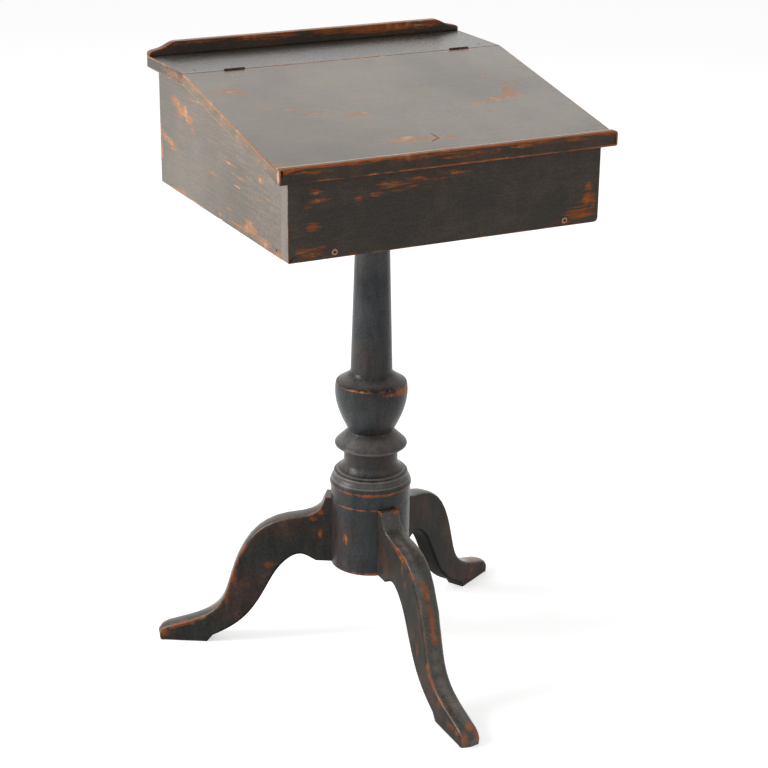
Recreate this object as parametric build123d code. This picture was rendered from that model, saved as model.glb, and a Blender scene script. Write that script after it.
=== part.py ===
"""Slant-lid writing desk on a turned pedestal with three sawn legs.

Millimetres, +Z up, +Y to the back. The origin is on the floor, in the middle of the
rectangle that the whole desk covers. Each wooden piece, fastener group and hinge part
is a node of its own in parts/.
"""
from build123d import *
from math import cos, radians, tan
import os

os.makedirs("parts", exist_ok=True)

# ------------------------------------------------------------------ driving sizes

# Case: front, two sides, back and a bottom of two boards
case_width = 546.0
case_depth = 525.0
case_height = 218.5         # underside to the top of the fixed top board
case_underside = 830.0      # above the floor
front_thickness = 25.0
side_thickness = 19.0
back_thickness = 19.0
bottom_thickness = 19.0

# Fixed top board, and the gallery rail that stands on its back edge
top_thickness = 19.0
top_depth = 162.5           # back of the case to the hinge line
top_overhang = 20.0         # past each side, the same for the lid and the lip
gallery_thickness = 13.5
gallery_height = 22.5
ogee_length = 46.5          # from the end of the rail to its level top
ogee_waist = 24.0           # from the end of the rail to where the two curves meet
ogee_waist_height = 12.3
nose_height = 4.5           # upright part of the end
nose_back = 4.5             # from the end of the rail to the top of its rounded nose
nose_top_height = 9.0

# Lid, with the lip nailed to its front edge
writing_slope = 11.25       # degrees
lid_thickness = 18.5
lid_reach = 1.5             # lid past the face of the front board
lip_thickness = 15.0
lip_height = 24.5
lip_rise = 4.8              # lip above the writing surface
lid_seat_gap = 0.3          # closed lid above the edges it rests on
joint_gap = 0.6             # between the lid and the top board

# Butt hinges let into the joint, pin on the line of the top surface
hinge_left_inset = 90.0     # from the end of the lid to the middle of the hinge
hinge_right_inset = 81.0
hinge_length = 35.0
leaf_height = 13.0
leaf_thickness = 1.5
knuckle_radius = 2.75
knuckle_clearance = 0.3     # round and between the knuckles
pin_radius = 1.3
pin_tight_fit = 0.02        # pin in the case leaf
pin_running_fit = 0.05      # pin in the lid leaf
leaf_screw_inset = 8.0      # screws from the ends of the leaf
leaf_screw_drop = 8.0       # screws below the pin
leaf_screw_length = 13.0
leaf_screw_radius = 1.2
leaf_screw_head_radius = 2.2

# Screws and cut nails
screw_radius = 2.4
screw_head_radius = 4.8
screw_slot_width = 1.0
screw_slot_depth = 0.9
screw_cover = 6.0           # wood left over the point of a screw
screw_bite = 26.0           # front screws into the bottom board
screw_fit = 0.05            # round every screw
front_screw_left_inset = 77.0   # from the end of the front board
front_screw_right_inset = 63.0
nail_head = 5.2
nail_head_height = 1.2
nail_width = 2.6
nail_shank = 3.4
nail_point = 1.6
nail_bite = 26.0            # into the second board
gallery_nail_bite = 14.0
nail_inset = 22.0           # first and last nail of a row from the end of the joint

# Block under the case that takes the column's tenon
block_width = 250.0
block_length = 320.0
block_thickness = 28.0
block_chamfer = 6.0
block_screw_spacing_x = 95.0
block_screw_spacing_y = 240.0
tenon_radius = 19.0
tenon_fit = 0.1
wedge_width = 3.4
wedge_point = 1.0
wedge_depth = 20.0

# Turned column: the height of each member, from the foot up, and the radii
base_underside = 171.5      # above the floor
base_height = 152.0
band_height = 2.5           # upright part of the band
band_shoulder_height = 15.0 # rounded part, up to the ring
ring_height = 4.0
ring_bevel_height = 4.0
cove_height = 17.0
neck_height = 22.0
disc_underside_height = 4.5
rim_lower_height = 4.0
rim_upper_height = 4.0
disc_dome_height = 21.3
vase_foot_height = 22.2
vase_body_height = 51.0
vase_shoulder_height = 15.5
shaft_cove_lower_height = 7.1
shaft_cove_upper_height = 10.4
base_radius = 69.4
band_radius = 71.2
ring_radius = 64.5
cove_radius = 60.0
neck_radius = 46.7
rim_lower_radius = 58.5     # where the rounded rim of the disc starts below
disc_radius = 62.9
rim_upper_radius = 61.0     # where the domed top starts above the rim
vase_foot_radius = 38.9
vase_waist_radius = 49.9
vase_belly_radius = 62.7
shoulder_radius = 61.0
shaft_cove_radius = 44.1
shaft_foot_radius = 36.1
shaft_top_radius = 28.2
scribe_depth = 0.8          # lines scribed round the base and the shoulder

# Legs: reach is from the column's axis, height is above the floor
front_leg_angle = -91.0     # degrees
leg_spacing_angle = 120.0   # degrees
leg_thickness = 35.0
leg_top_drop = 28.0         # top of the legs below the column's band
leg_ledge = 9.0             # level end of the leg against the column
collar_reach, collar_height = 86.0, 276.0
saddle_reach, saddle_height = 104.5, 261.8
crest_reach, crest_height = 149.5, 250.8
knee_reach, knee_height = 199.5, 225.0
front_reach, front_height = 235.0, 172.0
shin_reach, shin_height = 253.0, 117.0
ankle_reach, ankle_height = 269.5, 77.5
bend_reach, bend_height = 295.0, 55.0
instep_reach, instep_height = 326.0, 41.0
toe_top_reach, toe_top_height = 366.5, 27.0
toe_reach, toe_height = 380.6, 12.5
toe_undercut = 3.0          # the sole starts this far behind the toe
heel_reach = 293.5
notch_reach, notch_height = 283.0, 13.0
calf_reach, calf_height = 227.5, 50.0
arch_reach, arch_height = 184.5, 115.0
hollow_reach, hollow_height = 150.0, 168.0
crown_reach, crown_height = 121.5, 182.7
spur_reach = 95.0           # end of the level spur under the leg
calf_rise = (-2, 1)         # directions of the lower edge where its curve starts and ends
spur_fall = (-2, -1)
shoulder_gap = 0.15         # coped shoulder of the leg to the round base
key_neck = 14.0
key_tail = 20.0
key_depth = 18.0
key_root = 1.0              # key carried this far into the leg
key_top_drop = 6.0          # dovetail below the top of the leg
key_fit = 0.1

arris = 1.2                 # eased edges of the boards

# ------------------------------------------------------------------ places worked out from them

column_y = (toe_reach - case_depth / 2) / 2
front_y = column_y - case_depth / 2
back_y = column_y + case_depth / 2
hinge_y = back_y - top_depth
case_top = case_underside + case_height
top_underside = case_top - top_thickness
bottom_top = case_underside + bottom_thickness
inner_half_width = case_width / 2 - side_thickness
inner_front_y = front_y + front_thickness
inner_back_y = back_y - back_thickness
half_length = case_width / 2 + top_overhang
lid_front_y = front_y - lid_reach
block_underside = case_underside - block_thickness
slope = radians(writing_slope)

band_underside = base_underside + base_height
leg_top_height = band_underside - leg_top_drop
band_top = band_underside + band_height
ring_underside = band_top + band_shoulder_height
ring_top = ring_underside + ring_height
cove_foot = ring_top + ring_bevel_height
cove_top = cove_foot + cove_height
disc_underside = cove_top + neck_height
rim_lower = disc_underside + disc_underside_height
disc_middle = rim_lower + rim_lower_height
rim_upper = disc_middle + rim_upper_height
vase_foot = rim_upper + disc_dome_height
vase_waist = vase_foot + vase_foot_height
vase_belly = vase_waist + vase_body_height
shoulder = vase_belly + vase_shoulder_height
shaft_cove = shoulder + shaft_cove_lower_height
shaft_foot = shaft_cove + shaft_cove_upper_height


def writing_height(y):
    """Height of the lid's upper face at y."""
    return case_top - (hinge_y - y) * tan(slope)


def seat_height(y):
    """Height at y of the edges that the closed lid rests on."""
    return writing_height(y) - (lid_thickness + lid_seat_gap) / cos(slope)


# ------------------------------------------------------------------ helpers

def board(outline, half_width):
    """A board with this YZ outline, spread the same way to both sides of the middle."""
    face = make_face(Plane.YZ * Polyline(*outline, close=True))
    return extrude(face, amount=half_width, both=True)


def slab(low, high):
    """A square-edged piece between two corners."""
    size = [b - a for a, b in zip(low, high)]
    centre = [(a + b) / 2 for a, b in zip(low, high)]
    return Pos(*centre) * Box(*size)


def spread(first, last, count):
    """Evenly spaced places from first to last."""
    return [first + (last - first) * i / (count - 1) for i in range(count)]


def cut_nail(length):
    """A cut nail with its head at the origin, driven down -Z and tapered on two faces."""
    half_head, half_shank, half_point = nail_head / 2, nail_shank / 2, nail_point / 2
    outline = [
        (-half_head, 0), (half_head, 0), (half_head, -nail_head_height),
        (half_shank, -nail_head_height), (half_point, -length), (-half_point, -length),
        (-half_shank, -nail_head_height), (-half_head, -nail_head_height),
    ]
    face = make_face(Plane.XZ * Polyline(*outline, close=True))
    return extrude(face, amount=nail_width / 2, both=True)


def wood_screw(length, radius, head_radius, grow=0.0):
    """A countersunk screw with its head at the origin, driven down -Z; grow makes its hole."""
    cone = head_radius - radius
    outline = Polyline(
        (0, 0), (head_radius + grow, 0), (radius + grow, -cone), (radius + grow, radius - length),
        (0, -length - grow), close=True)
    return revolve(make_face(Plane.XZ * outline), Axis.Z)


def slotted_screw(length):
    """A case screw with a slot right across its head."""
    screw = wood_screw(length, screw_radius, screw_head_radius)
    return screw - Box(4 * screw_head_radius, screw_slot_width, 2 * screw_slot_depth)


def driven(piece, places, outward, across):
    """Copies of a nail or screw with their heads at places, facing outward."""
    return [Plane(origin=place, x_dir=across, z_dir=outward) * piece for place in places]


def save(name, piece):
    """Write one node, a single solid or a group of separate ones."""
    shape = Compound(children=list(piece)) if isinstance(piece, list) else piece
    shape.label = name
    export_step(shape, f"parts/{name}.step")


# ------------------------------------------------------------------ fasteners of the case

side_middle = case_width / 2 - side_thickness / 2
bottom_middle = case_underside + bottom_thickness / 2
back_middle = back_y - back_thickness / 2
LEFT = (-1, 0, 0)
RIGHT = (1, 0, 0)
FRONT = (0, -1, 0)
BACK = (0, 1, 0)
UP = (0, 0, 1)
DOWN = (0, 0, -1)

front_nail_heights = spread(case_underside + nail_inset, seat_height(front_y) - nail_inset, 3)
front_nails = driven(
    cut_nail(front_thickness + nail_bite),
    [(x, front_y, z) for x in (-side_middle, side_middle) for z in front_nail_heights], FRONT, UP)

back_nail_heights = spread(bottom_top + nail_inset, top_underside - nail_inset, 3)
back_nails = []
bottom_nails = []
for face_x, outward in ((-case_width / 2, LEFT), (case_width / 2, RIGHT)):
    back_nails += driven(
        cut_nail(side_thickness + nail_bite),
        [(face_x, back_middle, z) for z in back_nail_heights], outward, UP)
    for first_y, last_y in ((inner_front_y, column_y), (column_y, inner_back_y)):
        bottom_nails += driven(
            cut_nail(side_thickness + nail_bite),
            [(face_x, y, bottom_middle) for y in spread(first_y + nail_inset, last_y - nail_inset, 2)],
            outward, BACK)
bottom_nails += driven(
    cut_nail(back_thickness + nail_bite),
    [(x, back_y, bottom_middle) for x in spread(-inner_half_width / 2, inner_half_width / 2, 3)],
    BACK, RIGHT)

gallery_nails = driven(
    cut_nail(top_thickness + gallery_nail_bite),
    [(x, back_y - gallery_thickness / 2, top_underside)
     for x in spread(-inner_half_width + 2 * nail_inset, inner_half_width - 2 * nail_inset, 4)],
    DOWN, RIGHT)
top_nails = driven(
    cut_nail(top_thickness + nail_bite),
    [(x, y, case_top) for x in (-side_middle, side_middle)
     for y in spread(hinge_y + nail_inset, inner_back_y - nail_inset, 2)], UP, BACK)
top_nails += driven(
    cut_nail(top_thickness + nail_bite),
    [(x, back_middle, case_top) for x in spread(-inner_half_width / 2, inner_half_width / 2, 3)],
    UP, RIGHT)

front_screw_places = [
    (front_screw_left_inset - case_width / 2, front_y, bottom_middle),
    (case_width / 2 - front_screw_right_inset, front_y, bottom_middle)]
front_screw_length = front_thickness + screw_bite
front_screws = driven(
    slotted_screw(front_screw_length), front_screw_places, FRONT, (1, 0, 1))
front_screw_holes = driven(
    wood_screw(front_screw_length, screw_radius, screw_head_radius, screw_fit),
    front_screw_places, FRONT, UP)

block_screw_length = block_thickness + bottom_thickness - screw_cover
block_screw_places = [
    (x, column_y + y, block_underside)
    for x in (-block_screw_spacing_x, 0, block_screw_spacing_x)
    for y in (-block_screw_spacing_y / 2, block_screw_spacing_y / 2)]
block_screws = driven(
    slotted_screw(block_screw_length), block_screw_places, DOWN, (1, 1, 0))
block_screw_holes = driven(
    wood_screw(block_screw_length, screw_radius, screw_head_radius, screw_fit),
    block_screw_places, DOWN, RIGHT)

# ------------------------------------------------------------------ hinges

knuckle_length = hinge_length / 3
pin_place = {
    "left": (hinge_left_inset - half_length, hinge_y, case_top),
    "right": (half_length - hinge_right_inset, hinge_y, case_top)}


def rod(radius, length):
    """A round bar along X, centred on the pin."""
    return Rot(0, 90, 0) * Cylinder(radius, length)


def hinge_leaf(toward, knuckles, bore):
    """One leaf, hung from the pin at the origin on the side that toward gives, with its knuckles."""
    middle_y = (joint_gap + leaf_thickness) / 2 * toward
    leaf = Pos(0, middle_y, -leaf_height / 2) * Box(hinge_length, leaf_thickness, leaf_height)
    own = [x * knuckle_length for x in knuckles]
    other = [x * knuckle_length for x in (-1, 0, 1) if x not in knuckles]
    for x in other:
        leaf -= Pos(x, 0, 0) * rod(
            knuckle_radius + knuckle_clearance, knuckle_length + knuckle_clearance)
    for x in own:
        leaf += Pos(x, 0, 0) * rod(knuckle_radius, knuckle_length - knuckle_clearance)
    leaf -= rod(pin_radius + bore, hinge_length)
    for hole in leaf_screws(toward, screw_fit):
        leaf -= hole
    return leaf


def leaf_screws(toward, grow=0.0):
    """The two screws of a leaf, heads level with its face in the joint, or their holes."""
    screw = wood_screw(leaf_screw_length, leaf_screw_radius, leaf_screw_head_radius, grow)
    places = [(x, joint_gap / 2 * toward, -leaf_screw_drop)
              for x in (leaf_screw_inset - hinge_length / 2, hinge_length / 2 - leaf_screw_inset)]
    return driven(screw, places, (0, -toward, 0), UP)


def hinge_mortise(toward):
    """What is cut from the wood for one leaf and for the knuckles."""
    depth = joint_gap / 2 + leaf_thickness
    height = leaf_height + knuckle_radius
    recess = Pos(0, depth / 2 * toward, knuckle_radius - height / 2) * Box(hinge_length, depth, height)
    return recess + rod(knuckle_radius + knuckle_clearance, hinge_length)


case_leaf = hinge_leaf(1, (-1, 1), pin_tight_fit)
lid_leaf = hinge_leaf(-1, (0,), pin_running_fit)
pin = rod(pin_radius, hinge_length)
case_leaf_screws, lid_leaf_screws = [], []
case_hinge_cuts, lid_hinge_cuts = [], []
for side, place in pin_place.items():
    save(f"hinge_{side}_case_leaf", Pos(*place) * case_leaf)
    save(f"hinge_{side}_lid_leaf", Pos(*place) * lid_leaf)
    save(f"hinge_{side}_pin", Pos(*place) * pin)
    case_leaf_screws += [Pos(*place) * screw for screw in leaf_screws(1)]
    lid_leaf_screws += [Pos(*place) * screw for screw in leaf_screws(-1)]
    case_hinge_cuts += [Pos(*place) * cut for cut in [hinge_mortise(1)] + leaf_screws(1, screw_fit)]
    lid_hinge_cuts += [Pos(*place) * cut for cut in [hinge_mortise(-1)] + leaf_screws(-1, screw_fit)]
save("hinge_case_screws", case_leaf_screws)
save("hinge_lid_screws", lid_leaf_screws)

# ------------------------------------------------------------------ case boards

front_board = board(
    [(front_y, case_underside), (inner_front_y, case_underside),
     (inner_front_y, seat_height(inner_front_y)), (front_y, seat_height(front_y))],
    case_width / 2)
front_board = fillet(front_board.edges().group_by(Axis.Y)[0], arris)
save("front_board", front_board - front_nails - front_screw_holes)


def side_board(middle_x, outer_edges):
    """A five-cornered side: level under the top board, sloped under the lid."""
    outline = [
        (inner_front_y, case_underside), (back_y, case_underside), (back_y, top_underside),
        (hinge_y, top_underside), (hinge_y, seat_height(hinge_y)),
        (inner_front_y, seat_height(inner_front_y)),
    ]
    side = Pos(middle_x, 0, 0) * board(outline, side_thickness / 2)
    outer = side.edges().group_by(Axis.X)[outer_edges]
    exposed = outer.group_by(Axis.Z)[0] + outer.group_by(Axis.Y)[-1]
    return fillet(exposed, arris) - front_nails - back_nails - bottom_nails - top_nails


save("left_side", side_board(-side_middle, 0))
save("right_side", side_board(side_middle, -1))

back_board = slab(
    (-inner_half_width, inner_back_y, case_underside), (inner_half_width, back_y, top_underside))
save("back_board", back_board - back_nails - bottom_nails - top_nails)

bottom_front = slab(
    (-inner_half_width, inner_front_y, case_underside), (inner_half_width, column_y, bottom_top))
bottom_rear = slab(
    (-inner_half_width, column_y, case_underside), (inner_half_width, inner_back_y, bottom_top))
save("bottom_front_board", bottom_front - bottom_nails - front_screw_holes - block_screw_holes)
save("bottom_rear_board", bottom_rear - bottom_nails - block_screw_holes)

top_board = slab(
    (-half_length, hinge_y + joint_gap / 2, top_underside), (half_length, back_y, case_top))
top_ends = top_board.edges().group_by(Axis.X)
top_board = fillet(top_ends[0] + top_ends[-1], arris)
save("top_board", top_board - top_nails - gallery_nails - case_hinge_cuts)


def gallery_face():
    """Front view of the rail: level in the middle, with an ogee down to each end."""
    end_top = (half_length, nose_height)
    nose = (half_length - nose_back, nose_top_height)
    waist = (half_length - ogee_waist, ogee_waist_height)
    level = (half_length - ogee_length, gallery_height)
    with BuildSketch(Plane.XZ) as view:
        with BuildLine():
            Polyline((0, gallery_height), (0, 0), (half_length, 0), end_top)
            Spline(end_top, nose, waist, level, tangents=[(0, 1), (-1, 1)])
            Line(level, (0, gallery_height))
        make_face()
        mirror(about=Plane.YZ)
    return view.sketch


gallery = extrude(gallery_face(), amount=gallery_thickness / 2, both=True)
gallery = Pos(0, back_y - gallery_thickness / 2, case_top) * gallery
save("gallery_rail", gallery - gallery_nails)

# ------------------------------------------------------------------ lid

lid_rear_y = hinge_y - joint_gap / 2
lid_drop = lid_thickness / cos(slope)
lid_rear_top = writing_height(lid_rear_y)
lid_front_top = writing_height(lid_front_y)
lid_board = board(
    [(lid_rear_y, lid_rear_top), (lid_front_y, lid_front_top),
     (lid_front_y, lid_front_top - lid_drop), (lid_rear_y, lid_rear_top - lid_drop)],
    half_length)
lid_ends = lid_board.edges().group_by(Axis.X)
lid_board = fillet(lid_ends[0] + lid_ends[-1], arris)

lip_top = lid_front_top + lip_rise
lip_front_y = lid_front_y - lip_thickness
lid_lip = slab(
    (-half_length, lip_front_y, lip_top - lip_height), (half_length, lid_front_y, lip_top))
lid_lip = fillet(lid_lip.edges(), arris)

lip_nail_height = lid_front_top - lid_drop / 2
lip_nails = driven(
    cut_nail(lip_thickness + nail_bite),
    [(x, lip_front_y, lip_nail_height)
     for x in spread(-half_length + nail_inset, half_length - nail_inset, 5)],
    FRONT, UP)
save("lid_board", lid_board - lip_nails - lid_hinge_cuts)
save("lid_lip", lid_lip - lip_nails)

# ------------------------------------------------------------------ turned column and its block

def pillar(radius, low, high):
    """A plain cylinder on the column's axis, here X = Y = 0."""
    return Pos(0, 0, low) * Cylinder(
        radius, high - low, align=(Align.CENTER, Align.CENTER, Align.MIN))


tenon = pillar(tenon_radius, block_underside, case_underside)
wedge_foot = case_underside - wedge_depth
wedge_outline = Polyline(
    (-wedge_width / 2, case_underside), (wedge_width / 2, case_underside),
    (wedge_point / 2, wedge_foot), (-wedge_point / 2, wedge_foot), close=True)
wedge = extrude(make_face(Plane.XZ * wedge_outline), amount=tenon_radius, both=True) & tenon


def column_face():
    """Half section of the turning, from the axis out, foot to tenon shoulder."""
    foot_scribe = (base_radius - scribe_depth, leg_top_height)
    ring_foot = (ring_radius, ring_underside)
    cove_start = (cove_radius, cove_foot)
    cove_end = (neck_radius, cove_top)
    rim_start = (rim_lower_radius, rim_lower)
    rim_end = (rim_upper_radius, rim_upper)
    vase_start = (vase_foot_radius, vase_foot)
    shoulder_edge = (shoulder_radius, shoulder)
    shoulder_scribe = (shoulder_radius - scribe_depth, shoulder + scribe_depth)
    shaft_start = (shaft_foot_radius, shaft_foot)
    with BuildSketch(Plane.XZ) as section:
        with BuildLine():
            Polyline(
                (0, block_underside), (0, base_underside), (base_radius, base_underside),
                (base_radius, leg_top_height - scribe_depth), foot_scribe,
                (base_radius, leg_top_height + scribe_depth), (base_radius, band_underside),
                (band_radius, band_underside), (band_radius, band_top))
            Spline((band_radius, band_top), ring_foot, tangents=[(-1, 4), (-1, 4)])
            Polyline(ring_foot, (ring_radius, ring_top), cove_start)
            Spline(cove_start, cove_end, tangents=[(-5, 1), (0, 1)])
            Polyline(cove_end, (neck_radius, disc_underside), rim_start)
            Spline(rim_start, (disc_radius, disc_middle), rim_end, tangents=[(2, 1), (-1, 1)])
            Line(rim_end, vase_start)
            Spline(
                vase_start, (vase_waist_radius, vase_waist), (vase_belly_radius, vase_belly),
                shoulder_edge, tangents=[(1, 2), (-1, 4)])
            Line(shoulder_edge, shoulder_scribe)
            Spline(
                shoulder_scribe, (shaft_cove_radius, shaft_cove), shaft_start,
                tangents=[(-2, 1), (0, 1)])
            Polyline(shaft_start, (shaft_top_radius, block_underside), (0, block_underside))
        make_face()
    return section.sketch


def dovetail(grow, top_height):
    """The key on the inner end of a leg, along +X; grow makes its socket."""
    inner = base_radius - key_depth - grow
    outer = base_radius + key_root
    half_tail, half_neck = key_tail / 2 + grow, key_neck / 2 + grow
    face = make_face(Polyline(
        (inner, -half_tail), (outer, -half_neck), (outer, half_neck), (inner, half_tail), close=True))
    return Pos(0, 0, base_underside) * extrude(face, amount=top_height - base_underside)


key_top = leg_top_height - key_top_drop
leg_turns = {
    "front": front_leg_angle,
    "right": front_leg_angle + leg_spacing_angle,
    "left": front_leg_angle + 2 * leg_spacing_angle}
turned_column = revolve(column_face(), Axis.Z) + tenon
turned_column -= [Rot(0, 0, turn) * dovetail(key_fit, key_top + key_fit) for turn in leg_turns.values()]
turned_column -= wedge
save("turned_column", Pos(0, column_y, 0) * turned_column)
save("tenon_wedge", Pos(0, column_y, 0) * wedge)

column_block = Box(
    block_width, block_length, block_thickness, align=(Align.CENTER, Align.CENTER, Align.MAX))
column_block = chamfer(column_block.edges().group_by(Axis.Z)[0], block_chamfer)
column_block = Pos(0, 0, case_underside) * column_block
column_block -= pillar(tenon_radius + tenon_fit, block_underside, case_underside)
column_block = Pos(0, column_y, 0) * column_block
save("column_block", column_block - block_screw_holes)
save("block_screws", block_screws)

# ------------------------------------------------------------------ legs


def leg_face():
    """Side view of a leg along +X, from inside the base to the toe."""
    inner = base_radius - key_depth
    ledge = (base_radius + leg_ledge, leg_top_height)
    toe_top = (toe_top_reach, toe_top_height)
    sole = (toe_reach - toe_undercut, 0)
    notch = (notch_reach, notch_height)
    spur = (spur_reach, base_underside)
    with BuildSketch(Plane.XZ) as view:
        with BuildLine():
            Polyline(spur, (inner, base_underside), (inner, leg_top_height), ledge)
            Spline(
                ledge, (collar_reach, collar_height), (saddle_reach, saddle_height),
                (crest_reach, crest_height), (knee_reach, knee_height), (front_reach, front_height),
                (shin_reach, shin_height), (ankle_reach, ankle_height), (bend_reach, bend_height),
                (instep_reach, instep_height), toe_top)
            Spline(toe_top, (toe_reach, toe_height), sole)
            Polyline(sole, (heel_reach, 0), notch)
            Spline(
                notch, (calf_reach, calf_height), (arch_reach, arch_height),
                (hollow_reach, hollow_height), (crown_reach, crown_height), spur,
                tangents=[calf_rise, spur_fall])
        make_face()
    return view.sketch


leg_blank = extrude(leg_face(), amount=leg_thickness / 2, both=True)
key = dovetail(0, key_top) & leg_blank
leg = leg_blank - pillar(base_radius + shoulder_gap, base_underside, leg_top_height) + key
for side, turn in leg_turns.items():
    save(f"leg_{side}", Pos(0, column_y, 0) * Rot(0, 0, turn) * leg)

# ------------------------------------------------------------------ fastener groups

save("front_screws", front_screws)
save("front_nails", front_nails)
save("back_nails", back_nails)
save("bottom_nails", bottom_nails)
save("top_nails", top_nails)
save("gallery_nails", gallery_nails)
save("lip_nails", lip_nails)
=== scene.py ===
from contextlib import contextmanager
from math import atan, atan2, cos, degrees, pi, radians, sin, tan

import bmesh
import bpy
import numpy as np
from mathutils import Matrix, Vector


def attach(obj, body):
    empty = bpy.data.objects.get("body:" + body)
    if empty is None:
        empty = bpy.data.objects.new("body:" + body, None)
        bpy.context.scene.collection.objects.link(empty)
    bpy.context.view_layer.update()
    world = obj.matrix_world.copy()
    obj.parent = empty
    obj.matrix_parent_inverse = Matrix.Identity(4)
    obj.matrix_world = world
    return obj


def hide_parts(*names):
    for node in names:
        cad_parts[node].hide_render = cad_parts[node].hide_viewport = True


for start_piece in ("Cube", "Light", "Camera"):
    if start_piece in bpy.data.objects:
        bpy.data.objects.remove(bpy.data.objects[start_piece], do_unlink=True)
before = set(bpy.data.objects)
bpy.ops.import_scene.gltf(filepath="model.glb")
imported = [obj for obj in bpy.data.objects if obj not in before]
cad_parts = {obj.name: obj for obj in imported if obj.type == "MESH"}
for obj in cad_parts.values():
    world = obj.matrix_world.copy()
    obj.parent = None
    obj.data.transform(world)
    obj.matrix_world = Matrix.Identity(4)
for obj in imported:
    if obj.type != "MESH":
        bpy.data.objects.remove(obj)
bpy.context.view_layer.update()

MM = 0.001

# ---------------- colours and shader nodes


def colour(text):
    """Linear colour from a paint maker's hex code."""
    parts = [int(text[i:i + 2], 16) / 255 for i in (1, 3, 5)]
    linear = [c / 12.92 if c <= 0.04045 else ((c + 0.055) / 1.055) ** 2.4 for c in parts]
    return (*linear, 1.0)


def tones(*texts):
    """The colours of one finish, from their hex codes."""
    return tuple(colour(text) for text in texts)


def cleared(owner):
    """The emptied node tree of a material or a world."""
    owner.use_nodes = True
    owner.node_tree.nodes.clear()
    return owner.node_tree


def add(tree, kind, inputs=None, **settings):
    """A shader node with its settings, and its sockets joined to outputs or set to values."""
    made = tree.nodes.new("ShaderNode" + kind)
    for name, value in settings.items():
        setattr(made, name, value)
    for name, value in (inputs or {}).items():
        socket = made.inputs[name]
        if isinstance(value, bpy.types.NodeSocket):
            tree.links.new(value, socket)
        else:
            socket.default_value = value
    return made


def sums(operation, a, b=0.0, clamp=False):
    """One step of arithmetic on an output and another one or a number."""
    return add(a.id_data, "Math", {0: a, 1: b}, operation=operation, use_clamp=clamp).outputs[0]


def times(a, b):
    return sums("MULTIPLY", a, b)


def plus(a, b):
    return sums("ADD", a, b)


def most(a, b):
    return sums("MAXIMUM", a, b)


def blend(amount, first, second):
    """First colour where amount is 0, second where it is 1."""
    made = add(amount.id_data, "Mix", {0: amount, 6: first, 7: second}, data_type="RGBA")
    return made.outputs[2]


def between(value, low, high, to_low=0.0, to_high=1.0):
    """A soft ramp of value from low to high."""
    made = add(value.id_data, "MapRange", {
        "Value": value, "From Min": low, "From Max": high, "To Min": to_low, "To Max": to_high},
        interpolation_type="SMOOTHSTEP")
    return made.outputs[0]


def grain_noise(place, stretch, detail, shift=(0, 0, 0)):
    """Noise with so many features to the metre along each axis."""
    along = add(place.id_data, "Mapping", {"Vector": place, "Scale": stretch, "Location": shift})
    made = add(place.id_data, "TexNoise", {
        "Vector": along.outputs[0], "Scale": 1.0, "Detail": detail, "Roughness": 0.6})
    return made.outputs["Fac"]


def worn_places(place, spots):
    """Highest where one of the spots is."""
    total = times(place, 0.0)
    for x, y, z, rx, ry, rz, strength in spots:
        away = place
        for operation, by in (("SUBTRACT", (x * MM, y * MM, z * MM)),
                              ("MULTIPLY", (1000 / rx, 1000 / ry, 1000 / rz))):
            away = add(place.id_data, "VectorMath", {0: away, 1: by}, operation=operation)
            away = away.outputs[0]
        away = add(place.id_data, "VectorMath", {0: away}, operation="LENGTH")
        total = most(total, between(away.outputs["Value"], 0.1, 1.3, strength, 0.0))
    return total


def swing(noise, reach):
    """A noise made to swing about nought, over this reach."""
    return times(sums("SUBTRACT", noise, 0.5), reach)


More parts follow.
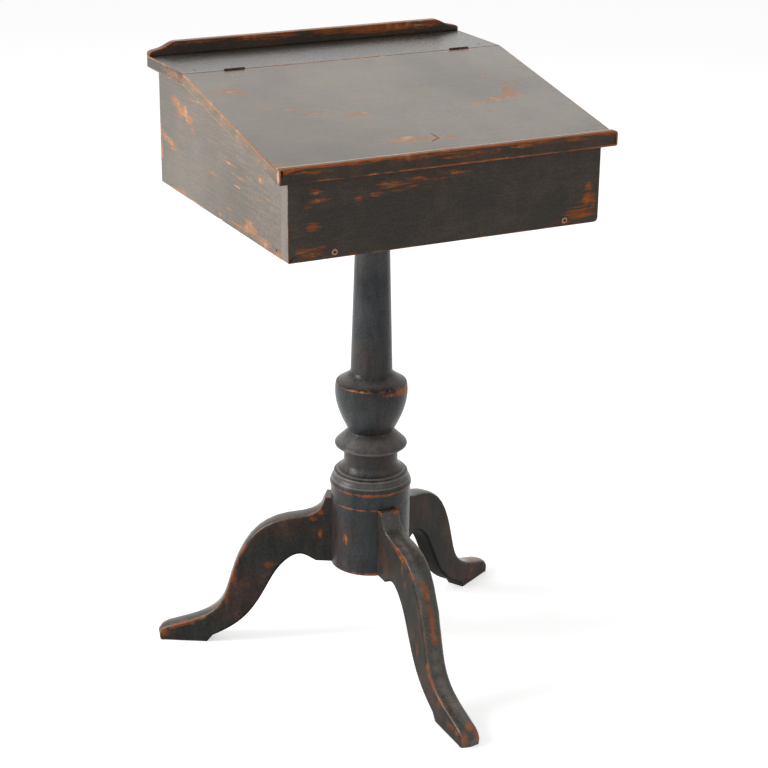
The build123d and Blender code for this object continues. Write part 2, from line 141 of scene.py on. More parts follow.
def old_paint(name, film, wood, grain, rub, rough, specular, specks, mottle, spots=(), coat=0.0,
              grain_show=0.12, relief=0.2, ragged=1.0, polish_and_painted_light=(), polish_and_light_tone=None, arris_highlight=0.0,
              soft=0.0):
    """Old paint on wood: a mottled film, rubbed through to the wood on arrises and at spots.

    film and wood are three tones each; grain is how many streaks to the metre along each axis,
    mottle how many clouds; grain_show and relief are how much the grain shows and stands up;
    rub is how much the arrises have worn, ragged how broken the edges of the wear are, and
    specks how bare the small chips are; polish_and_painted_light is like spots, and
    arris_highlight like rub, for where the film is only turned to the tone polish_and_light_tone:
    paler where hands have burnished it, but mostly a painted highlight, and painted shade where
    that tone is dark; soft blurs the line between film and wood, as on turned and rubbed stock."""
    material = bpy.data.materials.new(name)
    tree = cleared(material)
    place = add(tree, "TexCoord").outputs["Object"]
    streaks = grain_noise(place, grain, 5.0)
    fibres = grain_noise(place, tuple(2.6 * s for s in grain), 3.0, shift=(3.1, 1.7, 0.4))
    clouds = grain_noise(place, (mottle,) * 3, 3.0, shift=(0.3, 5.1, 2.2))
    patches = grain_noise(place, (mottle / 4,) * 3, 2.0, shift=(7.3, 0.9, 4.2))
    broken = grain_noise(place, (38, 38, 38), 6.0, shift=(1.3, 2.9, 8.1))
    slow = grain_noise(place, (11, 11, 11), 3.0, shift=(5.7, 3.3, 0.8))
    grit = grain_noise(place, (260,) * 3, 3.0)

    film_colour = blend(between(clouds, 0.36, 0.64), film[0], film[1])
    film_colour = blend(between(patches, 0.42, 0.66), film_colour, film[2])
    film_colour = add(tree, "HueSaturation", {
        "Color": film_colour,
        "Value": between(streaks, 0.3, 0.7, 1.0 - grain_show, 1.0 + grain_show)}).outputs[0]
    film_colour = add(tree, "HueSaturation", {
        "Color": film_colour, "Value": between(grit, 0.35, 0.65, 0.78, 1.22)}).outputs[0]

    edges = plus(swing(streaks, 2.6 * ragged), swing(fibres, 2.4 * ragged))
    edges = plus(edges, swing(broken, 1.1))

    on_arris = add(tree, "Attribute", attribute_name="rub").outputs["Fac"]
    arris = plus(on_arris, plus(swing(slow, 2.6), rub - 1.0))
    arris = plus(arris, times(edges, 0.5))
    edge_wear = times(between(arris, 0.42 - soft / 2, 0.78 + soft / 2),
                      between(on_arris, 0.06, 0.3))

    spot = worn_places(place, spots)
    near_spot = between(spot, 0.05, 0.4)
    broken_spot = plus(times(spot, 0.78), edges)
    spot_wear = times(near_spot, between(broken_spot, 0.45 - soft, 0.85 + soft))
    chips = grain_noise(place, (150,) * 3, 2.0, shift=(9.0, 4.0, 2.0))
    chips = times(between(chips, 0.72, 0.80), specks)
    wear = most(most(edge_wear, spot_wear), chips)

    near_wear = most(near_spot, between(on_arris, 0.02, 0.4))
    thinned = most(spot, times(on_arris, 0.6 * rub))
    thinned = between(plus(thinned, times(edges, 0.8)), 0.15, 0.95)
    thinned = times(thinned, times(near_wear, 0.5))

    wood_colour = blend(between(fibres, 0.35, 0.65), wood[0], wood[1])
    wood_colour = blend(between(broken, 0.52, 0.75), wood_colour, wood[2])
    film_colour = blend(times(thinned, 0.55), film_colour, wood[1])
    # Turns the film to one tone: paler where hands have burnished it, but mostly a painted
    # highlight, and painted shade where the tone is dark.
    if polish_and_painted_light or arris_highlight:
        polish_and_light_mask = most(worn_places(place, polish_and_painted_light), times(on_arris, arris_highlight))
        streaked = plus(polish_and_light_mask, times(edges, 0.3 - soft * 0.7))
        polish_and_light_mask = times(between(polish_and_light_mask, 0.02, 0.3),
                      between(streaked, 0.1, 1.1, 0.0, 0.7))
        film_colour = blend(polish_and_light_mask, film_colour, polish_and_light_tone)
    base = blend(wear, film_colour, wood_colour)

    dull = between(grit, 0.3, 0.7, rough - 0.07, rough + 0.08)
    dull = plus(dull, between(patches, 0.35, 0.65, -0.02, 0.04))
    dull = sums("ADD", dull, times(wear, 0.22), clamp=True)
    height = plus(times(fibres, 0.6), times(grit, 0.25))
    height = sums("SUBTRACT", height, times(wear, 0.6))
    bump = add(tree, "Bump", {"Strength": relief, "Distance": 0.0004, "Height": height})

    shader = add(tree, "BsdfPrincipled", {
        "Base Color": base, "Roughness": dull, "Normal": bump.outputs[0],
        "Specular IOR Level": specular, "Coat Weight": coat, "Coat Roughness": 0.22})
    add(tree, "OutputMaterial", {"Surface": shader.outputs[0]})
    return material


def bare_wood(name, shades, stretch):
    """Old unpainted pine, darkened by handling."""
    material = bpy.data.materials.new(name)
    tree = cleared(material)
    place = add(tree, "TexCoord").outputs["Object"]
    rings = grain_noise(place, stretch, 4.0)
    fibres = grain_noise(place, tuple(6.0 * s for s in stretch), 3.0, shift=(2, 5, 1))
    grime = grain_noise(place, (9, 9, 9), 4.0, shift=(4, 1, 7))
    bands = sums("FRACT", times(rings, 9.0))
    wood = blend(between(bands, 0.1, 0.95), shades[0], shades[1])
    wood = blend(between(fibres, 0.45, 0.75, 0.0, 0.5), wood, shades[2])
    wood = blend(between(grime, 0.5, 0.78, 0.0, 0.75), wood, shades[2])
    bump = add(tree, "Bump", {"Strength": 0.4, "Distance": 0.0004,
                              "Height": plus(fibres, times(bands, 0.4))})
    shader = add(tree, "BsdfPrincipled", {
        "Base Color": wood, "Roughness": between(fibres, 0.3, 0.7, 0.58, 0.78),
        "Normal": bump.outputs[0], "Specular IOR Level": 0.3})
    add(tree, "OutputMaterial", {"Surface": shader.outputs[0]})
    return material


def old_iron(name, shades, metal=0.75):
    """Hand-worked iron, browned and rusted, a little bright where it rubs."""
    material = bpy.data.materials.new(name)
    tree = cleared(material)
    place = add(tree, "TexCoord").outputs["Object"]
    pits = grain_noise(place, (420,) * 3, 5.0)
    scale = grain_noise(place, (110,) * 3, 3.0, shift=(3, 2, 6))
    skin = blend(between(scale, 0.40, 0.62), shades[0], shades[1])
    rubbed = times(add(tree, "Attribute", attribute_name="rub").outputs["Fac"],
                   between(pits, 0.35, 0.6))
    skin = blend(rubbed, skin, shades[2])
    bump = add(tree, "Bump", {"Strength": 0.5, "Distance": 0.0003, "Height": pits})
    shader = add(tree, "BsdfPrincipled", {
        "Base Color": skin, "Metallic": metal, "Normal": bump.outputs[0],
        "Roughness": between(pits, 0.3, 0.7, 0.45, 0.75)})
    add(tree, "OutputMaterial", {"Surface": shader.outputs[0]})
    return material


# ---------------- bench work: shaping pieces


def coat(piece, *materials):
    """Gives a piece its finishes, the first one all over."""
    for material in materials:
        piece.data.materials.append(material)


def dress(piece, node, slot, *materials, body="desk"):
    """Names a finished piece, coats it and puts it in place of its CAD node."""
    piece.name = piece.data.name = f"{node}_piece"
    coat(piece, *materials)
    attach(piece, body)
    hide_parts(node)


@contextmanager
def edited(piece):
    """Edit mode on a piece, left again with nothing selected."""
    bpy.context.view_layer.objects.active = piece
    bpy.ops.object.mode_set(mode="EDIT")
    yield
    bpy.ops.mesh.select_all(action="DESELECT")
    bpy.ops.object.mode_set(mode="OBJECT")


def settled():
    """The new piece, its object brought to the origin and its mesh left where it was."""
    bpy.ops.object.transform_apply(location=True, rotation=True, scale=True)
    return bpy.context.object


def blank(low, high):
    """A squared blank between two corners, in mm, its object at the origin."""
    size = [(b - a) * MM for a, b in zip(low, high)]
    middle = [(a + b) / 2 * MM for a, b in zip(low, high)]
    bpy.ops.mesh.primitive_cube_add(size=1, location=middle, scale=size)
    return settled()


def take_up(*pieces):
    """Selects these pieces alone, the first of them as the active one."""
    bpy.ops.object.select_all(action="DESELECT")
    for piece in pieces:
        piece.select_set(True)
    bpy.context.view_layer.objects.active = pieces[0]


def joined(pieces):
    """The pieces as one, shaded smooth."""
    take_up(*pieces)
    bpy.ops.object.join()
    smooth(pieces[0])
    return pieces[0]


def slide(x, y, z):
    """Moves what is selected by so many mm."""
    bpy.ops.transform.translate(value=(x * MM, y * MM, z * MM))


def draw_out(x, y, z):
    """Draws the selected faces out by so many mm."""
    bpy.ops.mesh.extrude_region_move(
        TRANSFORM_OT_translate={"value": (x * MM, y * MM, z * MM)})


def pick(piece, kind, test):
    """Selects the verts, edges or faces (kind) that pass test, with piece in edit mode."""
    bpy.ops.mesh.select_mode(type=kind[:-1].upper())
    bpy.ops.mesh.select_all(action="DESELECT")
    mesh = bmesh.from_edit_mesh(piece.data)
    for part in getattr(mesh, kind):
        if test(part):
            part.select_set(True)
    mesh.select_flush_mode()
    bmesh.update_edit_mesh(piece.data)


def mark_rub(piece, value):
    """Writes how hard the selected corners rub: 1 on an arris, 0 on a flat."""
    mesh = bmesh.from_edit_mesh(piece.data)
    layer = mesh.verts.layers.float.get("rub") or mesh.verts.layers.float.new("rub")
    for vert in mesh.verts:
        if vert.select:
            vert[layer] = value
    bmesh.update_edit_mesh(piece.data)


def crisp(edge, angle=25.0):
    """True for an edge between two faces that meet at more than angle."""
    return len(edge.link_faces) == 2 and degrees(edge.calc_face_angle(0.0)) > angle


def ease(piece, width, segments=2, inset=3.0, test=crisp, flat=True, share=None):
    """Rounds the arrises that pass test by width mm, or by its share of it at each edge, and
    marks them as what rubs. Where flat, a margin of inset mm parts them from the flats."""
    piece.data.materials.append(None)
    piece.data.materials.append(None)
    with edited(piece):
        pick(piece, "edges", test)
        if share:
            round_by_share(piece, width, segments, share)
        else:
            bpy.ops.mesh.bevel(offset=width * MM, segments=segments, profile=0.5, affect="EDGES",
                               clamp_overlap=True, material=1)
        pick(piece, "faces", lambda f: f.material_index == 1)
        mark_rub(piece, 1.0)
        if flat:
            pick(piece, "faces", lambda f: f.material_index == 0)
            bpy.ops.mesh.inset(thickness=inset * MM, use_even_offset=False)
            mark_rub(piece, 0.0)
    finish_faces(piece, 0, lambda f: True)
    piece.data.materials.clear()


def round_by_share(piece, width, segments, share):
    """Rounds the selected edges, each by its own share of width mm, from within edit mode."""
    mesh = bmesh.from_edit_mesh(piece.data)
    weight = mesh.edges.layers.float.new("bevel_weight_edge")
    for edge in mesh.edges:
        edge[weight] = share(edge) if edge.select else 0.0
    bmesh.update_edit_mesh(piece.data)
    bpy.ops.object.mode_set(mode="OBJECT")
    rounding = piece.modifiers.new("rounding", "BEVEL")
    rounding.limit_method, rounding.width, rounding.segments = "WEIGHT", width * MM, segments
    rounding.material = 1
    bpy.ops.object.modifier_apply(modifier=rounding.name)
    piece.data.attributes.remove(piece.data.attributes["bevel_weight_edge"])
    bpy.ops.object.mode_set(mode="EDIT")


def set_rub(piece, *rules, rest=1.0):
    """Sets how hard arrises rub: each rule is a test of a corner's place, in metres, and a
    value, the first that passes holds, and rest is the value where none does."""
    rub = piece.data.attributes["rub"].data
    for vert in piece.data.vertices:
        if rub[vert.index].value > 0.5:
            rub[vert.index].value = next((value for test, value in rules if test(vert.co)), rest)


def smooth(piece, angle=30.0):
    """Shades a piece smooth except over crisp edges."""
    take_up(piece)
    bpy.ops.object.shade_smooth_by_angle(angle=radians(angle))
    piece.select_set(False)


def lift(piece, rise, test):
    """Moves the corners that pass test up by so many mm."""
    with edited(piece):
        pick(piece, "verts", test)
        slide(0, 0, rise)


def cut_across(piece, axis, *stations):
    """Cuts new edges right round a piece at each station along an axis, in mm."""
    for station in stations:
        with edited(piece):
            bpy.ops.mesh.select_all(action="SELECT")
            place, normal = [0, 0, 0], [0, 0, 0]
            place[axis], normal[axis] = station * MM, 1
            bpy.ops.mesh.bisect(plane_co=place, plane_no=normal)


def cut_away(piece, *cutters):
    """Cuts the cutters out of a piece and puts them away."""
    take_up(piece)
    piece.select_set(False)
    for cutter in cutters:
        cut = piece.modifiers.new("cut", "BOOLEAN")
        cut.operation, cut.solver, cut.object = "DIFFERENCE", "EXACT", cutter
        bpy.ops.object.modifier_apply(modifier="cut")
        bpy.data.objects.remove(cutter, do_unlink=True)


def finish_faces(piece, index, test):
    """Gives the faces that pass test the finish with this index."""
    for face in piece.data.polygons:
        if test(face):
            face.material_index = index


def flowing(points, steps, start=None, end=None):
    """Points along a smooth line through points; start and end are its directions there."""
    given = np.array(points, float)
    count = len(given)
    spans = np.linalg.norm(np.diff(given, axis=0), axis=1)
    rows, right = np.zeros((count, count)), np.zeros((count, 2))
    for i in range(1, count - 1):
        a, b = spans[i - 1], spans[i]
        rows[i, i - 1:i + 2] = b, 2 * (a + b), a
        right[i] = 3 * (b * (given[i] - given[i - 1]) / a + a * (given[i + 1] - given[i]) / b)
    ends = (0, start, 1, spans[0]), (count - 1, end, count - 2, spans[-1])
    for row, direction, other, length in ends:
        rows[row, row] = 1 if direction else 2
        if direction:
            right[row] = np.array(direction, float) / np.linalg.norm(direction)
        else:
            rows[row, other] = 1
            right[row] = 3 * (given[other] - given[row]) / length * (1 if row == 0 else -1)
    slopes = np.linalg.solve(rows, right)
    line = []
    for i, h in enumerate(spans):
        for step in range(steps):
            t = step / steps
            line.append(
                (2 * t**3 - 3 * t**2 + 1) * given[i] + (t**3 - 2 * t**2 + t) * h * slopes[i]
                + (3 * t**2 - 2 * t**3) * given[i + 1] + (t**3 - t**2) * h * slopes[i + 1])
    line.append(given[-1])
    return [(float(a), float(b)) for a, b in line]


# ---------------- sizes of the desk, in mm

case_left, case_right = -273.0, 273.0
side_inner = 254.0
board_end = 293.0
front, front_inner, back_inner, back = -203.45, -178.45, 302.55, 321.55
case_foot, case_head, top_board_foot = 830.0, 1048.5, 1029.5
bottom_board_z = 839.5
hinge_y, joint = 159.05, 0.3
hinge_x, screw_x = (-203.0, 212.0), (-196.0, 210.0)
rake = tan(radians(11.25))
lid_drop, lid_gap = 18.862, 0.31
lid_front, lip_front = -204.95, -219.95
lip_rise, lip_depth = 4.8, 24.5
gallery_rise, gallery_thickness = 22.5, 13.5
column_y = 59.05


def lid_top(y):
    """Height of the writing surface at y."""
    return case_head - (hinge_y - y) * rake


def lid_seat(y):
    """Height at y of the case edges under the lid."""
    return lid_top(y) - lid_drop - lid_gap


# ---------------- finishes

lip_crest = lid_top(lid_front) + lip_rise
pale_wood = tones("#b8845c", "#9c6a45", "#cfa37c")
orange_wood = tones("#b5662f", "#8f4c25", "#cf8a54")
leg_wood = tones("#ad5f31", "#7c4526", "#bd7a4b")


# Spots are rows of x, y, z, the reach along each of them, all in mm, and the strength.


def on_lid(*spots):
    """Spots given by x and y, with their reach, put on the writing surface."""
    return [(x, y, lid_top(y), rx, ry, 10, strength) for x, y, rx, ry, strength in spots]


def on_front(y, *spots):
    """Spots given by x and z, with their reach, put on an upright face at y."""
    return [(x, y, z, rx, 6, rz, strength) for x, z, rx, rz, strength in spots]


def round_column(*spots):
    """Spots given by height, reach and strength, put right round the column."""
    return [(0, column_y, z, 300, 300, reach, strength) for z, reach, strength in spots]


def along(xs, *rest):
    """The same spot at each x."""
    return [(x, *rest) for x in xs]


def down_lid_end(*rest):
    """The same spot at steps down the lid's left-hand end, from its back to its front."""
    return [(-294, y, lid_top(y) - 9, *rest) for y in (130, 60, -10, -80, -150)]


# The lid's film is lighter than the case paint: partly fading, and partly a painted sheen for the
# light that the lid catches.
lid_paint = old_paint(
    "faded_sheen_lit_lid_paint", tones("#5b4d3b", "#64563f", "#554b3e"), pale_wood, (14, 330, 330),
    rough=0.36, specular=0.5, coat=0.1, specks=0.1, grain_show=0.14, mottle=16, rub=0.9,
    relief=0.17, polish_and_light_tone=colour("#b5a193"), spots=on_lid(
        (-56, -155, 42, 14, 1.15), (-14, -158, 34, 10, 1.2), (22, -161, 18, 10, 1.3),
        (129, -58, 24, 9, 0.75), (150, -52, 30, 11, 0.95), (177, -45, 26, 15, 1.3),
        (203, -36, 24, 17, 1.5), (210, -18, 17, 22, 1.4), (213, 0, 16, 20, 1.15),
        (230, 5, 22, 10, 0.95), (195, 43, 18, 9, 0.85), (136, -84, 20, 8, 0.6),
        (-168, 115, 2.5, 2, 1.9), (-250, 80, 36, 11, 1.05), (-232, 66, 28, 9, 0.9),
        (-219, 6, 24, 9, 0.75), (-178, -7, 20, 7, 0.7), (-140, -26, 34, 9, 0.95),
        (-90, -50, 38, 12, 1.2), (-62, 8, 14, 7, 0.5), (-287, -190, 18, 16, 0.9),
        (-120, 156, 70, 4, 1.05), (40, 156, 100, 3.4, 0.95), (210, 156, 60, 3, 0.7),
        (292, 110, 3.5, 60, 0.9), (292, 10, 3.5, 60, 0.85), (292, -80, 3.5, 60, 0.9),
        (291, -165, 4, 40, 1.0)) + down_lid_end(5, 52, 15, 0.5),
    polish_and_painted_light=down_lid_end(8, 90, 24, 0.4)
    # The pale line along the front edge, by the lip, is a painted highlight.
    + [(0, lid_front + 3, lid_top(lid_front), 900, 6, 8, 0.35)])
top_paint = old_paint(
    "worn_top_board_paint_shaded_by_rail", tones("#443d33", "#4a4234", "#3f3d36"), pale_wood, (14, 330, 330),
    rough=0.3, specular=0.38, coat=0.05, specks=0.1, grain_show=0.14, mottle=16, rub=0.75,
    relief=0.08, polish_and_light_tone=colour("#211e1a"), spots=[
        (-100, 161, 1048, 70, 4, 4, 0.95), (10, 161, 1048, 130, 4, 4, 0.85),
        (-267, 230, 1048, 16, 5, 4, 0.7), (-294, 205, 1040, 6, 60, 16, 0.8),
        (200, 175, 1048, 100, 14, 4, 0.4)],
    # The dark tone along the back of the top board, by the gallery rail, is painted shade.
    polish_and_painted_light=along((-120, 40, 200), 300, 1048.5, 170, 75, 20, 1.0))
# The sides' film is lighter than the case paint: partly fading, and partly a painted sheen for the
# light that the left side catches.
side_paint = old_paint(
    "faded_sheen_lit_side_paint", tones("#6c6154", "#72675c", "#655e54"), pale_wood, (330, 16, 330),
    rough=0.4, specular=0.45, coat=0.1, specks=0.1, grain_show=0.13, mottle=16, rub=0.8,
    relief=0.16, spots=[(-273, y, z, 5, ry, rz, strength) for y, z, ry, rz, strength in (
        (245, 984, 30, 12, 1.2), (215, 975, 34, 15, 1.3), (186, 966, 26, 12, 1.25),
        (170, 952, 20, 8, 1.1), (167, 1003, 26, 4, 1.0), (267, 909, 38, 14, 0.95),
        (300, 915, 18, 12, 1.0), (90, 899.5, 34, 3, 1.2), (17, 932.6, 40, 3.2, 1.1),
        (25, 950, 18, 3, 0.9), (-101, 935, 18, 9, 0.8), (-131, 913, 14, 8, 0.7),
        (-60, 848, 42, 15, 1.2), (-112, 838, 50, 9, 1.25), (-30, 840, 60, 8, 1.0),
        (-165, 834, 30, 6, 1.1), (222, 837, 36, 7, 0.95), (20, 858, 30, 5, 0.8),
        (-20, 918, 34, 3, 1.0), (-60, 926, 26, 3, 1.0), (-85, 900, 26, 3, 0.9),
        (-5, 902, 20, 2.5, 0.9), (61.5, 836, 6, 10, 1.1), (-187, 850, 2.2, 18, 0.95),
        (-118, 951, 34, 3.2, 1.0), (318, 921, 8, 20, 1.2), (316, 887, 8, 26, 1.2),
        (200, 893, 16, 5, 0.6), (-110, 880, 20, 4, 0.45))])
case_paint = old_paint(
    "black_case_paint", tones("#443c35", "#4c433b", "#3e3a35"), orange_wood, (22, 330, 330),
    rough=0.5, specular=0.2, specks=0.25, mottle=45, rub=0.55, spots=on_front(
        front, (-227, 936.5, 13, 6, 0.9), (-222, 922, 28, 5, 1.05), (-240, 914, 10, 5, 0.85),
        (-232, 883, 18, 10, 1.0), (-234, 844, 40, 16, 0.74), (-156, 917.5, 9, 7, 0.85),
        (-130, 921, 20, 6, 0.8), (-95, 935, 54, 9, 0.64), (-35, 937, 56, 8, 0.7),
        (5, 941, 40, 7, 0.68), (-60, 925, 70, 7, 0.48), (252, 888, 10, 14, 0.95),
        (251, 868, 13, 14, 1.2), (240, 849, 36, 14, 1.15), (209, 838, 26, 9, 0.75),
        (262, 860, 8, 24, 1.0)))
lip_paint = old_paint(
    "handled_lip_paint", tones("#3b2f26", "#49382c", "#302a25"), orange_wood, (22, 330, 330),
    rough=0.45, specular=0.25, specks=0.2, mottle=45, rub=1.0, polish_and_light_tone=colour("#d9c3b0"),
    spots=on_front(
        lip_front, (-280, 978, 18, 6, 1.2), (116, 979, 46, 10, 0.95),
        (75.4, 972.9, 7, 5, 1.1), (150, 979, 40, 7, 0.95), (270, 979, 32, 6, 1.1),
        (25, 972, 80, 9, 0.72), (-60, 977, 90, 6, 0.85), (-190, 979, 80, 6, 0.8),
        (-235, 972, 50, 7, 0.7), (215, 976, 60, 5, 0.7))
    + along((-240, -140, -40, 60, 160, 250), -217, lip_crest, 70, 6, 4, 1.4)
    + [(-294, -212, 969, 5, 9, 14, 0.5)],
    # The pale tone on the lip's left end and along its crest is a painted highlight on paler, worn
    # paint.
    polish_and_painted_light=[(-294, -214, 969, 4, 8, 15, 1.3)]
    + along((-240, -80, 80, 240), -207, lip_crest, 160, 4.5, 4, 1.3))
gallery_paint = old_paint(
    "gallery_paint", tones("#45362b", "#513e31", "#38322c"), orange_wood, (22, 330, 330),
    rough=0.42, specular=0.3, specks=0.15, mottle=45, rub=0.95, polish_and_light_tone=colour("#b3968a"),
    spots=on_front(
        308, (60, 1067, 90, 10, 1.2), (150, 1066, 110, 11, 1.3), (230, 1065, 56, 9, 1.1),
        (-60, 1068, 110, 8, 1.05), (-200, 1068, 80, 7, 0.95))
    + along((-180, 0, 180), 315, 1071, 130, 10, 3, 0.7),
    polish_and_painted_light=along((-240, -80, 80, 240), 315, 1071.5, 150, 9, 3, 1.1)
    + along((-286, 286), 315, 1061, 26, 10, 14, 0.7))
column_paint = old_paint(
    "blue_black_column_paint", tones("#252b2e", "#313638", "#362f2b"), orange_wood,
    (90, 90, 22), rough=0.31, specular=0.25, specks=0.35, mottle=26, rub=0.8, relief=0.42,
    grain_show=0.3, soft=0.28, polish_and_light_tone=colour("#8c8580"), spots=[
        (46, 10, 468, 30, 34, 40, 0.4), (30, 1, 504, 22, 14, 9, 1.2),
        (43, 15, 501, 13, 18, 13, 1.15), (6, -3, 504, 22, 9, 5, 0.85),
        (52, 30, 494, 9, 16, 16, 0.9), (-63, 30.5, 233, 4, 6, 13, 0.9),
        (-40, 5, 173, 26, 26, 5, 0.9), (-22, -4, 172, 12, 12, 6, 1.1),
        (-30, -4, 323.8, 60, 40, 4.0, 1.3), (-62, 10, 295.5, 44, 55, 2.0, 1.2),
        (30, -5, 295.5, 40, 20, 1.8, 0.9)]
    + round_column((323.8, 2.8, 0.88), (511, 2.0, 0.5), (391.5, 1.8, 0.55), (171.5, 3.0, 0.65)),
    # The pale tone round the rings stands for worn, paler arrises and a painted highlight on them;
    # at the disc and ring it lightens tops that the case above shades; the wide bands up the shaft
    # make it paler there.
    polish_and_painted_light=round_column(
        (345, 2.2, 0.95), (334, 2.2, 0.9), (349.5, 1.6, 0.8), (339, 11, 0.55), (358, 10, 0.35),
        (408, 18, 0.6), (396, 5, 0.75), (446, 26, 0.22), (519, 10, 0.5), (470, 40, 0.22),
        (760, 90, 0.42), (640, 90, 0.26), (560, 60, 0.22)))


def wear_line(places, reach, strength, steps):
    """Spots set close along a line through places, for wear that runs on."""
    return [(*(p + (q - p) * i / steps for p, q in zip(a, b)), *reach, strength)
            for a, b in zip(places, places[1:]) for i in range(steps)]


leg_spots = wear_line(
    [(-5, -147, 215), (-5, -156, 202), (-4, -168, 182), (-4, -178, 163), (-3, -187, 139),
     (-2, -191, 124)], (8, 11, 15), 1.25, 3)
leg_spots += [
    (-92, 94, 253, 10, 10, 8, 1.1), (-84, 89, 228, 7, 8, 15, 1.0), (-84, 89, 267, 8, 8, 9, 0.9),
    (-160, 135, 160, 16, 14, 9, 0.55), (-220, 168, 138, 12, 11, 30, 0.85),
    (-230, 174, 96, 12, 11, 24, 0.9), (-246, 183, 75, 14, 12, 12, 0.9),
    (-331, 232, 16, 14, 14, 14, 1.1), (-264, 193, 62, 16, 14, 10, 0.85),
    (-296, 214, 38, 24, 16, 9, 0.8), (-24, -102, 225, 6, 9, 17, 0.95),
    (-24, -114, 203, 6, 8, 14, 0.9), (-18, -164, 120, 6, 12, 44, 0.75),
    (-18, -240, 36, 6, 28, 16, 0.85), (-18, -281, 20, 6, 24, 12, 0.95),
    (8, -18, 293, 12, 8, 5, 1.3), (-4, -313, 27, 13, 13, 8, 1.35),
    (-16, -324, 13, 9, 13, 13, 1.35), (6, -324, 15, 8, 13, 14, 1.35),
    (-21, -311, 21, 8, 13, 9, 1.15), (10, -308, 24, 8, 14, 10, 1.0),
    (-22, -290, 22, 6, 22, 10, 0.9), (292, 202, 24, 18, 12, 9, 0.9),
    (283, 196, 12, 12, 9, 7, 0.8), (302, 213, 38, 36, 24, 7, 0.85),
    (322, 228, 14, 16, 14, 10, 0.85)]
# The leg tops take a lighter film than the cheeks and undersides, a lit copy of the paint; the pale
# tone along the crest and on the arrises is a painted highlight.
leg_paint = old_paint(
    "lit_brown_black_leg_paint", tones("#433e39", "#53483d", "#3a3d39"), leg_wood, (60, 60, 20),
    rough=0.3, specular=0.42, specks=0.1, mottle=30, rub=0.75, relief=0.14, grain_show=0.25,
    spots=leg_spots, arris_highlight=0.5, polish_and_light_tone=colour("#857d77"), soft=0.3, ragged=0.7,
    polish_and_painted_light=wear_line(
        [(-7, -66, 257), (-9, -105, 245), (-11, -140, 224), (-12, -165, 190)],
        (10, 22, 18), 0.6, 2)
    + wear_line(
        [(-6, -196, 104), (-5, -222, 65), (-4, -250, 47), (-4, -280, 37)],
        (13, 18, 14), 0.6, 2))
# A darker copy of the leg paint for the cheeks: duller, and painted shade on the upright sides.
shaded_cheek_paint = old_paint(
    "dull_shaded_leg_cheek_paint", tones("#36302d", "#49382f", "#2e302d"), leg_wood, (60, 60, 20),
    rough=0.5, specular=0.1, specks=0.1, mottle=30, rub=0.75, relief=0.14, grain_show=0.2,
    spots=leg_spots, soft=0.3, ragged=0.7)
# A near-black copy for the undersides and the ends toward the column: painted shade.
shade_under_leg_paint = old_paint(
    "painted_shade_under_leg_paint", tones("#1f1c19", "#29221d", "#1c1e1c"), leg_wood, (60, 60, 20),
    rough=0.6, specular=0.05, specks=0.0, mottle=30, rub=0.6, relief=0.14, soft=0.3)
inside_wood = bare_wood("old_bare_pine", tones("#a98460", "#8c6845", "#5f4730"), (5, 45, 45))
# A darker pine for the block under the case.
under_wood = bare_wood(
    "dark_block_pine", tones("#5c4733", "#4a3827", "#33271c"), (5, 45, 45))
hinge_iron = old_iron("browned_iron", tones("#2b2420", "#5a3826", "#8d8378"))
nail_iron = old_iron("painted_nail_head", tones("#2b2623", "#3a2d26", "#4d3a30"), metal=0.3)
screw_metal = old_iron("rubbed_screw_head", tones("#a3715f", "#b58573", "#c79a88"), metal=0.35)

# ---------------- case boards


def new_cylinder(radius, depth, place, rotation):
    """A cylinder, its measures and place in mm, its object at the origin."""
    bpy.ops.mesh.primitive_cylinder_add(
        vertices=32, radius=radius * MM, depth=depth * MM, rotation=rotation,
        location=[p * MM for p in place])
    return settled()


def hinge_cutters(toward):
    """What is let into an edge for the two hinges: a leaf's recess and the barrel's hollow."""
    made = []
    leaf_half, leaf_foot, hollow_radius = 17.55, 1035.4, 3.1
    near, far = sorted((hinge_y - 1.0 * toward, hinge_y + 1.85 * toward))
    for x in hinge_x:
        made.append(blank((x - leaf_half, near, leaf_foot), (x + leaf_half, far, case_head + 3)))
        made.append(new_cylinder(
            hollow_radius, 2 * leaf_half, (x, hinge_y, case_head), (0, pi / 2, 0)))
    return made


def at_front_joint(edge):
    """True for the arrises where the front board and a side close up against each other."""
    return all(abs(v.co.y - front_inner * MM) < 1e-4 and abs(v.co.x) > 0.25 for v in edge.verts)


def case_board(node, low, high, inner, shape=lambda piece: None):
    """A board of the case: painted outside, bare inside where a face looks along inner."""
    piece = blank(low, high)
    shape(piece)
    ease(piece, 1.2, test=lambda e: crisp(e) and not at_front_joint(e))
    smooth(piece)
    coat(piece, case_paint, inside_wood)
    finish_faces(piece, 1, lambda f: f.normal.dot(Vector(inner)) > 0.7)
    dress(piece, node, "case_wood")
    return piece


def round_corner(piece, radius, test):
    """Rounds off the edges that pass test by a radius in mm, as years of knocks do."""
    with edited(piece):
        pick(piece, "edges", test)
        bpy.ops.mesh.bevel(offset=radius * MM, segments=6, profile=0.5, affect="EDGES")


def runs_back(edge, x, z):
    """True for the edge that runs front to back at this side and height."""
    return all(abs(v.co.x - x * MM) < 1e-4 and abs(v.co.z - z * MM) < 1e-4 for v in edge.verts)


def shape_front(piece):
    """Slopes the top of the front board and rounds its bottom corners."""
    cut_across(piece, 0, -262, -150, -50, 50, 150, 258)
    cut_across(piece, 2, 842)
    lift(piece, lid_seat(front) - lid_seat(front_inner),
         lambda v: v.co.z > 0.95 and v.co.y < -0.2)
    round_corner(piece, 7.0, lambda e: runs_back(e, case_right, case_foot))
    round_corner(piece, 2.5, lambda e: runs_back(e, case_left, case_foot))


